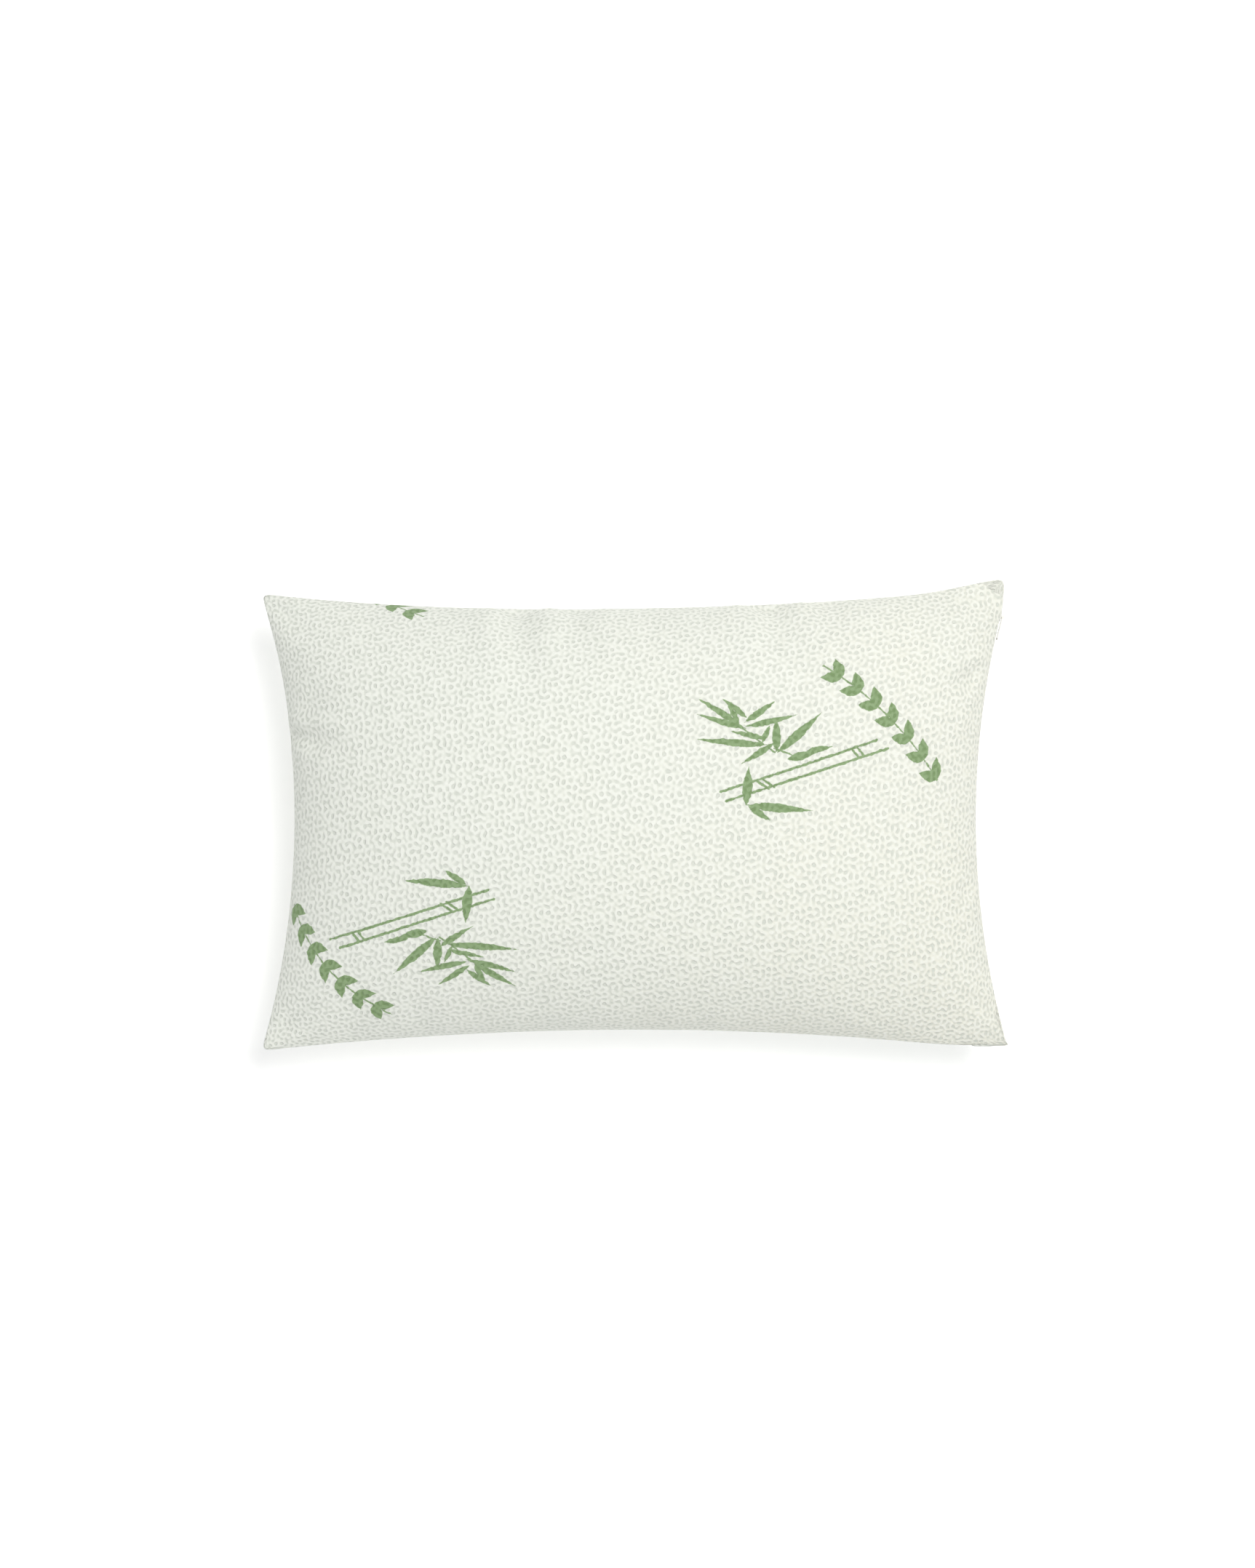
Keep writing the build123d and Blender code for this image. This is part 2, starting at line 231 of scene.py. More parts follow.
# creases pressed in: two ends in plan, depth and half width, in metres
creases = {
    "front": [
        ((-0.330, 0.080), (-0.270, 0.068), 0.0060, 0.0060),
        ((-0.318, 0.108), (-0.280, 0.106), 0.0028, 0.0100),
        ((0.334, 0.136), (0.284, 0.122), 0.0050, 0.0065),
        ((0.345, 0.180), (0.316, 0.163), 0.0028, 0.0050),
        ((0.322, -0.050), (0.296, -0.086), 0.0034, 0.0070),
        ((-0.112, 0.215), (-0.094, 0.120), 0.0058, 0.0120),
        ((-0.052, 0.215), (-0.060, 0.138), 0.0032, 0.0130),
        ((0.116, 0.215), (0.150, 0.136), 0.0062, 0.0120),
        ((0.176, 0.215), (0.184, 0.152), 0.0034, 0.0110),
        ((-0.346, -0.212), (-0.300, -0.174), 0.0040, 0.0060),
        ((0.346, -0.214), (0.318, -0.200), 0.0014, 0.0050),
        ((-0.346, 0.214), (-0.292, 0.174), 0.0036, 0.0070),
        ((0.343, 0.214), (0.306, 0.188), 0.0024, 0.0055),
        ((0.060, -0.215), (0.068, -0.160), 0.0026, 0.0120),
        ((-0.190, -0.215), (-0.184, -0.168), 0.0022, 0.0110),
    ],
    "back": [
        ((-0.344, -0.210), (-0.290, -0.170), 0.0044, 0.0070),
        ((0.344, 0.210), (0.300, 0.180), 0.0026, 0.0060),
        ((-0.344, 0.210), (-0.290, 0.172), 0.0044, 0.0070),
        ((0.344, -0.210), (0.296, -0.180), 0.0024, 0.0060),
        ((-0.328, 0.030), (-0.280, 0.022), 0.0052, 0.0070),
        ((0.090, 0.212), (0.080, 0.150), 0.0044, 0.0120),
        ((-0.120, -0.212), (-0.106, -0.150), 0.0044, 0.0120),
        ((0.150, -0.212), (0.160, -0.160), 0.0030, 0.0110),
    ],
    "outerFade": (0.25, 0.3), "innerFade": (1.25, 0.9),  # along a crease, in its lengths
    "widen": 0.6,  # towards the inner end
    "wander": 0.25, "wanderWaves": 9, "wanderStart": 40,  # sideways, in half widths
    "fold": 0.35, "foldAt": 1.9, "foldWidth": 0.8,  # the raised fold along both sides
    "seamFade": 0.009,  # height over the seam plane at which a crease is at its full depth
    "zipFrom": 0.014, "zipFade": 0.010,  # no crease reaches the lips of the zip
    "zipEnd": 0.207, "zipEndFade": 0.008,
}


def creaseDepth(x, y, lines):
    # how deep the creases press at a place in plan; each fades towards its inner end
    total, c = 0, creases
    (outer, outerSpan), (inner, innerSpan) = c["outerFade"], c["innerFade"]
    for (x0, y0), (x1, y1), depth, width in lines:
        dx, dy = x1 - x0, y1 - y0
        far = hypot(dx, dy)
        k = ((x - x0) * dx + (y - y0) * dy) / far ** 2
        aside = abs((x - x0) * dy - (y - y0) * dx) / far
        wander = c["wander"] * width * sin(c["wanderWaves"] * k + c["wanderStart"] * x0)
        fade = smooth((k + outer) / outerSpan) * smooth((inner - k) / innerSpan)
        across = (aside + wander) / (width * (1 + c["widen"] * max(k, 0)))
        fold = c["fold"] * exp(-((abs(across) - c["foldAt"]) / c["foldWidth"]) ** 2)
        total += depth * fade * (exp(-across ** 2) - fold)
    return total


def besideZip(x, y):
    # 1 on the lips of the zip, fading to 0 inwards and past the zip's ends
    c = creases
    lips = smooth((x - reachX(y) + c["zipFrom"]) / c["zipFade"])
    return lips * smooth((c["zipEnd"] - abs(y)) / c["zipEndFade"])


def shapePanel(mesh, side, rise):
    # bring the crown to size, press the creases in and let the floor flatten the back
    bm = bmesh.new()
    bm.from_mesh(mesh)
    bm.normal_update()
    edge = {v for v in bm.verts if v.is_boundary}
    tall = max(side * (v.co.z - seamZ) for v in bm.verts)
    lines = creases["front" if side > 0 else "back"]
    shifts = {v: v.normal * -creaseDepth(v.co.x, v.co.y, lines) for v in bm.verts if v not in edge}
    for v, shift in shifts.items():
        v.co += shift * smooth(abs(v.co.z - seamZ) / creases["seamFade"]) * (1 - besideZip(v.co.x, v.co.y))
        v.co.z = seamZ + (v.co.z - seamZ) * rise / tall
        if side < 0:
            v.co.z = (v.co.z + sqrt(v.co.z ** 2 + cover["bearing"] ** 2)) / 2
    for v in bm.verts:
        v.co.x, v.co.y = settle(v.co.x, v.co.y)
    bm.to_mesh(mesh)
    bm.free()


# a panel's turned-in edge: distance in from the outline, height off the seam plane, and that beside the zip
turnIn = [
    (0.0005, 0.0006, 0.0041),
    (0.0020, 0.0003, 0.0039),
    (0.0050, 0.0003, 0.0042),
    (0.0092, 0.0003, 0.0049),
]


def coverPanel(name, mesh, side):
    # fold the edge in along the seam, then give the cloth its thickness
    bm = bmesh.new()
    bm.from_mesh(mesh)
    uv = bm.loops.layers.uv["cut"]
    start = {}
    for v in bm.verts:
        if v.is_boundary:
            start[v] = (v.co.x, v.co.y, v.link_loops[0][uv].uv.copy())
    border = [e for e in bm.edges if e.is_boundary]
    for inset, height, zipHeight in turnIn:
        made = bmesh.ops.extrude_edge_only(bm, edges=border)["geom"]
        fresh = {g for g in made if isinstance(g, bmesh.types.BMVert)}
        for v in fresh:
            old = next(w for w in (e.other_vert(v) for e in v.link_edges) if w in start and w not in fresh)
            x, y, cut = start[v] = start[old]
            zipPart = (lipAt(x, y) - cover["lip"]) / cover["zipLip"]
            v.co.x = x * (1 - inset / halfLength)
            v.co.y = y * (1 - inset / halfWidth)
            v.co.z = seamZ + side * mix(height, zipHeight, zipPart)
        for f in {f for v in fresh for f in v.link_faces}:
            for loop in f.loops:
                far = inset if loop.vert in fresh else 0
                loop[uv].uv = start[loop.vert][2] * (1 + far / halfWidth)
        border = [g for g in made if isinstance(g, bmesh.types.BMEdge) and g.is_boundary]
    bmesh.ops.recalc_face_normals(bm, faces=bm.faces)
    top = max(bm.faces, key=lambda f: side * f.calc_center_median().z)
    if top.normal.z * side < 0:
        bmesh.ops.reverse_faces(bm, faces=bm.faces)
    bm.to_mesh(mesh)
    bm.free()
    piece = addPiece(name, mesh)
    subdivide = piece.modifiers.new("round", "SUBSURF")
    subdivide.levels = subdivide.render_levels = 1
    wall = piece.modifiers.new("cloth thickness", "SOLIDIFY")
    wall.thickness, wall.offset = cover["thickness"], -1
    return piece


def addPiece(name, mesh):
    for f in mesh.polygons:
        f.use_smooth = True
    piece = bpy.data.objects.new(name, mesh)
    bpy.context.scene.collection.objects.link(piece)
    return piece


# skins inside the cover: how far each is drawn in at the seams, the share of the cover's height that
# it keeps, and the height and size of the crumbs that push into it
linerSkin = {"inset": 0.0125, "keep": 0.963, "lump": 0.0010, "size": 0.022}
foamSkin = {"inset": 0.0165, "keep": 0.935, "lump": 0.0024, "size": 0.014}
linerThickness = 0.0005


def innerCopy(name, meshes, inset, keep, lump, size):
    # a skin that lies inside the cover, drawn in all round, with crumbs pushing into it
    bm = bmesh.new()
    for mesh in meshes:
        bm.from_mesh(mesh)
    for v in bm.verts:
        x, y, z = v.co
        edge = v.is_boundary
        v.co.x = x * (1 - inset / halfLength)
        v.co.y = y * (1 - inset / halfWidth)
        bump = 0 if edge else lump * (noise.noise(Vector((x, y, z)) / size) - 0.6)  # mostly inwards
        v.co.z = seamZ if edge else seamZ + (z - seamZ) * (keep + bump / 0.1)  # 0.1 is about the crown
    bmesh.ops.remove_doubles(bm, verts=bm.verts, dist=1e-5)
    result = bpy.data.meshes.new(name)
    bm.to_mesh(result)
    bm.free()
    return addPiece(name, result)


def arcPoint(angle, r, z):
    # a place on the zip's side: angle along it, radius about the side's centre, height over the seam
    return (arcX - r * cos(angle), r * sin(angle), seamZ + z)


def tubeMesh(name, lines, radius, sides=1):
    # round thread or filament along each line of points
    curve = bpy.data.curves.new(name, "CURVE")
    curve.dimensions = "3D"
    curve.bevel_depth, curve.bevel_resolution = radius, sides
    curve.use_fill_caps = True
    for points in lines:
        spline = curve.splines.new("POLY")
        spline.points.add(len(points) - 1)
        for place, point in zip(spline.points, points):
            place.co = (*point, 1)
    holder = bpy.data.objects.new(name, curve)
    bpy.context.scene.collection.objects.link(holder)
    mesh = bpy.data.meshes.new_from_object(holder.evaluated_get(bpy.context.evaluated_depsgraph_get()))
    bpy.data.objects.remove(holder)
    return mesh


# radii are counted from the outline inwards, and heights from the seam plane
zipper = {
    "travelTurns": 296,  # turns of the coil along the slider's travel, a whole number
    "filament": 0.00029,
    "stepsPerTurn": 10,
    "chainR": 0.0020,
    "coilMiddle": 0.00112, "coilHeight": 0.00128, "coilDepth": 0.00062,  # of the flattened turns
    "headSwell": 0.25,  # how much deeper a turn is at the head of its tooth
    "coilStart": 0.0008,  # angle that the first turn stands in from the end
    "tapeThickness": 0.0005,
    "tapeSteps": 72,
    "tapeR": 0.0031,
    # across the tape, from the chain to the selvedge: radius behind tapeR, height, and how ribbed it is
    "tapeProfile": [
        (0, 0.0007, 0), (0, 0.0013, 0.12), (0, 0.0019, 0), (0, 0.0024, 0.12), (0.0004, 0.0028, 0),
        (0.0024, 0.0031, 0), (0.0048, 0.0035, 0.06), (0.0072, 0.0039, 0), (0.0086, 0.0042, 0.3),
        (0.0095, 0.0044, 0.1),
    ],
    "tapeSetback": 0.0035, "stitchSetback": 0.0065,  # how far each stops short of the tape's full length
    "stitchRows": ((0.0098, 0.0044), (0.0084, 0.0042)),
    "stitchLength": 0.003, "stitchDip": 0.0002, "stitchProud": 0.0012,
    "threadRadius": 0.00017,
}
pitchAngle = radians(slideJoint["range_deg"][1]) / zipper["travelTurns"]
coilAngle = asin(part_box("zipper_coil_front")[1].y / (arcR + 0.003))
tapeAngle = asin(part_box("zipper_tape_front")[1].y / (arcR + 0.0132))


def zipCoil(name, side):
    # flattened helix of filament; the two coils mesh half a pitch apart
    p = zipper
    turns = int(2 * coilAngle / pitchAngle) - 1
    count = turns * p["stepsPerTurn"]
    points = []
    for i in range(count + 1):
        turn = 2 * pi * i / p["stepsPerTurn"]
        swell = 1 + p["headSwell"] * max(cos(turn), 0) ** 6
        z = side * (p["coilMiddle"] - p["coilHeight"] * cos(turn))
        r = arcR + p["chainR"] - p["coilDepth"] * sin(turn) * swell
        angle = -coilAngle + p["coilStart"] + (i / p["stepsPerTurn"] + 0.25 * side) * pitchAngle
        points.append(arcPoint(angle, r, z))
    return addPiece(name, tubeMesh(name, [points], p["filament"]))


def spunStrip(name, profile, low, high, steps):
    # closed profile in the plane through the arc's centre, spun along the side
    bm = bmesh.new()
    corners = [bm.verts.new(arcPoint(low, r, z)) for r, z in profile]
    first = bm.faces.new(corners)
    bmesh.ops.spin(bm, geom=[first, *first.edges, *first.verts], cent=(arcX, 0, 0), axis=(0, 0, 1),
                   angle=low - high, steps=steps, use_merge=False)
    bmesh.ops.remove_doubles(bm, verts=bm.verts, dist=1e-6)
    bmesh.ops.recalc_face_normals(bm, faces=bm.faces)
    mesh = bpy.data.meshes.new(name)
    bm.to_mesh(mesh)
    bm.free()
    return addPiece(name, mesh)


def zipTape(name, side):
    # woven tape: flat behind the coil, ribbed where the coil is sewn on, with a thick selvedge
    thick, back = zipper["tapeThickness"], arcR + zipper["tapeR"]
    near, far = [], []
    for r, z, rib in zipper["tapeProfile"]:
        near.append((back + r - 0.3 * thick * rib, z))
        far.append((back + r + thick * (0.9 + 0.6 * rib), z - (0.3 * thick if r else 0)))
    loop = [(r, side * z) for r, z in near + far[::-1]]
    reach = tapeAngle - zipper["tapeSetback"] / arcR
    return spunStrip(name, loop, -reach, reach, zipper["tapeSteps"])


def stitchRow(name, side):
    # lockstitch that holds the tape to the panel's turned-in edge
    p, lines = zipper, []
    reach = tapeAngle - p["stitchSetback"] / arcR
    count = int(2 * reach * arcR / p["stitchLength"])
    for depth, z in p["stitchRows"]:
        points = []
        for i in range(count * 4):
            angle = mix(-reach, reach, (i + 0.5) / (count * 4))
            dip = (0, p["stitchDip"], p["stitchDip"], 0)[i % 4]
            height = side * (z + p["stitchDip"] + dip)
            points.append(arcPoint(angle, arcR + depth - p["stitchProud"] - dip, height))
        lines.append(points)
    return addPiece(name, tubeMesh(name, lines, p["threadRadius"]))


tack = {
    "turns": 16, "stepsPerTurn": 4, "start": 0.8,  # of the thread round the chain
    "from": 0.0004, "to": 0.0030,  # angles past the coil's end
    "depth": 0.00105, "height": 0.0022,
    "radius": 0.00022,
}


def endTack(name, side):
    # bar tack across the end of the chain
    points = []
    count = tack["turns"] * tack["stepsPerTurn"]
    for i in range(count):
        turn = 2 * pi * i / tack["stepsPerTurn"] + tack["start"]
        angle = side * (coilAngle + mix(tack["from"], tack["to"], i / (count - 1)))
        r = arcR + zipper["chainR"] - tack["depth"] * sin(turn)
        points.append(arcPoint(angle, r, tack["height"] * cos(turn)))
    return addPiece(name, tubeMesh(name, [points], tack["radius"]))


# overlock threads: reach in from the outline, nearest and furthest, height, length of one loop, and radius
coverSerge = {"near": 0.0066, "far": 0.0098, "height": 0.0021, "pitch": 0.003, "radius": 0.00018}
linerSerge = {"near": 0.0117, "far": 0.0148, "height": 0.0011, "pitch": 0.0032, "radius": 0.00016}


def serging(name, lines, near, far, height, pitch, radius):
    # thread looped over a turned-in edge
    paths, loopSteps = [], 8
    for plan in lines:
        points = []
        travelled, following = 0.0, 0
        total = sum((b - a).length for a, b in zip(plan, plan[1:]))
        steps = int(total / pitch * loopSteps)
        for i in range(steps + 1):
            want = total * i / steps
            a, b = plan[following], plan[following + 1]
            while following < len(plan) - 2 and travelled + (b - a).length < want:
                travelled += (b - a).length
                following += 1
                a, b = plan[following], plan[following + 1]
            spot = a.lerp(b, (want - travelled) / (b - a).length)
            across = Vector((-(b - a).y, (b - a).x)).normalized()
            if across.dot(spot) > 0:
                across = -across
            turn = 2 * pi * i / loopSteps
            spot = spot + across * mix(near, far, 0.5 - 0.5 * cos(turn))
            points.append((*settle(spot.x, spot.y), seamZ + height * sin(turn)))
        paths.append(points)
    return addPiece(name, tubeMesh(name, paths, radius, 0))


def sidePath(which, start, stop, count=60):
    # part of the outline, in plan
    points = []
    for i in range(count + 1):
        k = mix(start, stop, i / count)
        if which in ("top", "bottom"):
            y = reachY(k * halfLength) * (1 if which == "top" else -1)
            points.append(Vector((k * halfLength, y)))
        else:
            x = reachX(k * halfWidth) * (1 if which == "right" else -1)
            points.append(Vector((x, k * halfWidth)))
    return points


# blank labels: radius and height of the top, how far it leans in and hangs down, where along the side
# it starts, in degrees, and its width
careStrip = {"topR": 0.0134, "topZ": -0.0078, "lean": 0.0085, "drop": 0.0128, "start": -7, "width": 0.032}
lawStrip = {"topR": 0.0130, "topZ": -0.0014, "lean": 0.0040, "drop": 0.0130, "start": 8, "width": 0.050}
ribbonHalf = 0.00022  # half the ribbon's thickness


def foldedLabel(name, topR, topZ, lean, drop, start, width):
    # blank strip folded double, hanging from a seam
    half, steps, ripple = ribbonHalf, 8, 0.0005
    line = []
    for i in range(steps + 1):
        k = i / steps
        line.append((arcR + topR + lean * k + 0.0006 * sin(pi * k), topZ - drop * k))
    fold = [(r - half, z) for r, z in line]
    fold += [(line[-1][0] + half, line[-1][1] - 2 * half)]
    fold += [(r + 3 * half + ripple * sin(pi * i / steps), z) for i, (r, z) in enumerate(line)][::-1]
    start = radians(start)
    piece = spunStrip(name, fold, start - width / arcR, start, 16)
    for v in piece.data.vertices:
        v.co.x -= ripple * sin(180 * v.co.y) * (topZ + seamZ - v.co.z) / drop  # more of it lower down
    return piece


class Wire:
    # one socket of a material's nodes; arithmetic on it adds Math nodes
    def __init__(self, tree, socket=None):
        self.tree, self.socket = tree, socket

    def node(self, kind, settings={}, values=(), out=0):
        made = self.tree.nodes.new(kind)
        for key, value in settings.items():
            if key == "stops":
                ramp = made.color_ramp
                while len(ramp.elements) < len(value):
                    ramp.elements.new(1)
                for stop, (place, colour) in zip(ramp.elements, value):
                    stop.position, stop.color = place, (*colour, 1)
            else:
                setattr(made, key, value)
        pairs = values.items() if isinstance(values, dict) else enumerate(values)
        for key, value in pairs:
            if isinstance(value, Wire):
                self.tree.links.new(value.socket, made.inputs[key])
            else:
                made.inputs[key].default_value = value
        return Wire(self.tree, made.outputs[out])

    def maths(self, operation, *values, clamp=False):
        return self.node("ShaderNodeMath", {"operation": operation, "use_clamp": clamp}, values)

    def vector(self, operation, *values, out=0):
        return self.node("ShaderNodeVectorMath", {"operation": operation}, values, out)

    def __add__(self, other):
        return self.maths("ADD", self, other)

    def __sub__(self, other):
        return self.maths("SUBTRACT", self, other)

    def __rsub__(self, other):
        return self.maths("SUBTRACT", other, self)

    def __mul__(self, other):
        return self.maths("MULTIPLY", self, other)

    def __truediv__(self, other):
        return self.maths("DIVIDE", self, other)

    def __abs__(self):
        return self.maths("ABSOLUTE", self)

    __radd__, __rmul__ = __add__, __mul__

    def least(self, other):
        return self.maths("MINIMUM", self, other)

    def most(self, other):
        return self.maths("MAXIMUM", self, other)

    def wave(self):
        return self.maths("SINE", self)

    def fade(self, low, high):
        # 0 below low, 1 above high and a smooth step between them
        return self.node("ShaderNodeMapRange", {"interpolation_type": "SMOOTHSTEP"}, [self, low, high])

    def linear(self, a, b, c=0.0):
        # a * x + b * y + c at a place (x, y, 1)
        return self.vector("DOT_PRODUCT", self, (a, b, c), out="Value")

    def blend(self, colourA, colourB):
        # mixes two colours by this value
        ends = {0: self, 6: colourA, 7: colourB}
        for key in (6, 7):
            if not isinstance(ends[key], Wire):
                ends[key] = (*ends[key], 1)
        return self.node("ShaderNodeMix", {"data_type": "RGBA"}, ends, 2)

    def grain(self, where, size, detail=2.0, out=0):
        values = {"Vector": where, "Scale": 1 / size, "Detail": detail}
        return self.node("ShaderNodeTexNoise", {}, values, out)

    def bump(self, height, distance, strength=1.0):
        values = {"Strength": strength, "Distance": distance, "Height": height}
        return self.node("ShaderNodeBump", {}, values)


def startMaterial(name, fixed, texture="Object"):
    # a Principled material with its constant values set; gives its wire, its place and its shader
    material = bpy.data.materials.new(name)
    material.use_nodes = True
    tree = material.node_tree
    shader = tree.nodes["Principled BSDF"]
    for key, value in fixed.items():
        shader.inputs[key].default_value = value
    wire = Wire(tree)
    if texture == "Object":
        place = wire.node("ShaderNodeTexCoord", {}, (), "Object")
    else:
        place = wire.node("ShaderNodeUVMap", {"uv_map": texture})
    return material, wire, place, shader


def plug(shader, **links):
    # links values to the shader's sockets, whose names are written with underscores
    for key, value in links.items():
        shader.id_data.links.new(value.socket, shader.inputs[key.replace("_", " ")])


knit = {
    "base": (0.800, 0.822, 0.752),
    # the next two colours are painted highlight on the puffed ridges and painted shade in the sunken stitches
    "ridge": (0.868, 0.884, 0.822),
    "pitShade": (0.655, 0.684, 0.615),
    # the next colour is partly the cloth's own cream and partly painted warm light
    "cream": (0.830, 0.822, 0.715),
    "repeat": 0.0064,  # of the quilted cells, on the cut
    "waves": 11,
    "warp": 0.0035,
    "stitch": 0.0012,  # one knitted loop
    "relief": 0.0007,
    "cloud": 0.013,  # size of the faint clouding between the cells
    "contrast": 1.4, "cloudContrast": 0.9,  # painted highlight and shade between puffed and sunken places, and random clouding of tone
    "balance": 0.62,  # the height that has the plain base colour
}

sprigPrint = {
    "first": (0.191, 0.0822),  # middle of one motif on the cut; the next one is turned half round
    "drop": (0.029, 0.4255),  # from a motif to its like
    "across": (0.8406, 0.0039),  # two columns on; the column between stands half a drop off
    "scale": (0.938, 0.935),  # from the cut to the motif's own metres
    "ink": (0.172, 0.276, 0.108),
    # the next colour is the ink with painted highlight, for the puffed ridges
    "inkOnLitRidges": (0.244, 0.362, 0.172),
    "edge": 0.45,  # softness of the print's edge, in millimetres
    "waver": 2.6, "bleed": 0.4,  # how the edge strays, at random and with the quilting, in millimetres
    # leaves: foot, direction in degrees, length, half width and bend, in millimetres
    "leaves": [
        (-86, 8, 146, 45, 2.9, 1.5), (-80, 5, 163, 46, 2.7, -2), (-80, 15, 141, 28, 2.6, 1),
        (-87, 9, 118, 22, 2.5, 1), (-82, 11, 36, 33, 2.9, 1), (-81, 7, 13, 46, 2.8, 2.5),
        (-62, -5, 167, 34, 2.3, 1), (-61, -10, 175, 64, 3.2, -2), (-55, -8, 213, 34, 2.8, -1.5),
        (-53, -16, 92, 30, 3.8, 1), (-52, -17, 43, 52, 4.0, 2), (-66, -8, 68, 17, 2.4, 0),
        (-43, -23, 12, 27, 3.6, -1), (-26, -16, 10, 24, 2.8, 1), (-80, -64, 86, 34, 4.4, 1),
        (-79, -64, -5, 59, 3.7, 1.5), (-78, -65, -33, 25, 2.9, -1),
    ],
    # strokes of the cane and its twigs, written as the leaves are
    "strokes": [
        (-104, -52.5, 18, 152, 1.15, 2), (-99, -61, 17.6, 158, 1.15, -1),
        (-71, -42, -34, 15, 1.05, 0), (-66, -40.5, -34, 15, 1.05, 0),
        (15, -13, -50, 13, 1.05, 0), (20, -11.5, -50, 13, 1.05, 0),
        (-90, 11, -38, 46, 0.7, 3), (-56, -13, -22, 26, 0.7, -2),
    ],
    # garland of paired leaves on a wide arc
    "garlandCentre": (-289, -346), "garlandRadius": 495, "garlandMiddle": 47,
    "garlandPairs": 7, "garlandStep": 22.5, "garlandStem": 0.7,
    "garlandLeaf": (-10, 0, 35, 20, 5.0, 1.5),
}


def lensAt(place, x, y, angle, long, half, bend, blunt=False):
    # depth inside a leaf, in millimetres; a blunt one is a stroke of even width
    c, s = cos(radians(angle)), sin(radians(angle))
    along = place.linear(c / long, s / long, -(x * c + y * s) / long)
    bulge = along * (1 - along)
    aside = abs(place.linear(-s, c, x * s - y * c) + bulge * bend)
    if blunt:
        return (bulge * long).least(half) - aside
    return bulge * (1.35 - 0.7 * along).most(0.1) * (4 * half) - aside


def garlandDepth(wire, motif):
    # paired leaves along a wide arc, each like the next
    p = sprigPrint
    fromCentre = wire.vector("SUBTRACT", motif, (*p["garlandCentre"], 1))
    x = wire.node("ShaderNodeSeparateXYZ", {}, [fromCentre], 0)
    y = Wire(wire.tree, x.socket.node.outputs[1])
    outwards = abs(wire.vector("LENGTH", fromCentre, out="Value") - p["garlandRadius"])
    along = (wire.maths("ARCTAN2", y, x) - radians(p["garlandMiddle"])) * p["garlandRadius"]
    step = p["garlandStep"]
    local = along - wire.maths("ROUND", along / step) * step
    cell = wire.node("ShaderNodeCombineXYZ", {}, [local, outwards, 1.0])
    leaf = lensAt(cell, *p["garlandLeaf"])
    within = p["garlandPairs"] * step / 2 - abs(along)
    return leaf.most(p["garlandStem"] - outwards).least(within)


def sprigDepth(wire, cut):
    # how far a place on the cut lies inside the printed motif, in millimetres
    p = sprigPrint
    (ax, ay), (bx, by), (x0, y0) = p["across"], p["drop"], p["first"]
    whole = ax * by - ay * bx
    a, b = 2 * by / whole, -2 * bx / whole
    column = wire.maths("ROUND", cut.linear(a, b, -a * x0 - b * y0))  # odd columns are half a drop lower
    a, b = -ay / whole, ax / whole
    row = wire.maths("ROUND", cut.linear(a, b, -a * x0 - b * y0) - column * 0.5) + column * 0.5
    stepX = wire.node("ShaderNodeVectorMath", {"operation": "SCALE"}, {0: (ax / 2, ay / 2, 0), 3: column})
    stepY = wire.node("ShaderNodeVectorMath", {"operation": "SCALE"}, {0: (bx, by, 0), 3: row})
    local = wire.vector("SUBTRACT", wire.vector("SUBTRACT", cut, stepX), stepY)
    local = wire.vector("SUBTRACT", local, (x0, y0, 0))
    turned = wire.maths("COSINE", column * pi)
    local = wire.node("ShaderNodeVectorMath", {"operation": "SCALE"}, {0: local, 3: turned})
    kx, ky = p["scale"]
    motif = wire.vector("MULTIPLY_ADD", local, (1000 * kx, 1000 * ky, 0), (0, 0, 1))
    depth = garlandDepth(wire, motif)
    for leaf in p["leaves"]:
        depth = depth.most(lensAt(motif, *leaf))
    for stroke in p["strokes"]:
        depth = depth.most(lensAt(motif, *stroke, blunt=True))
    return depth


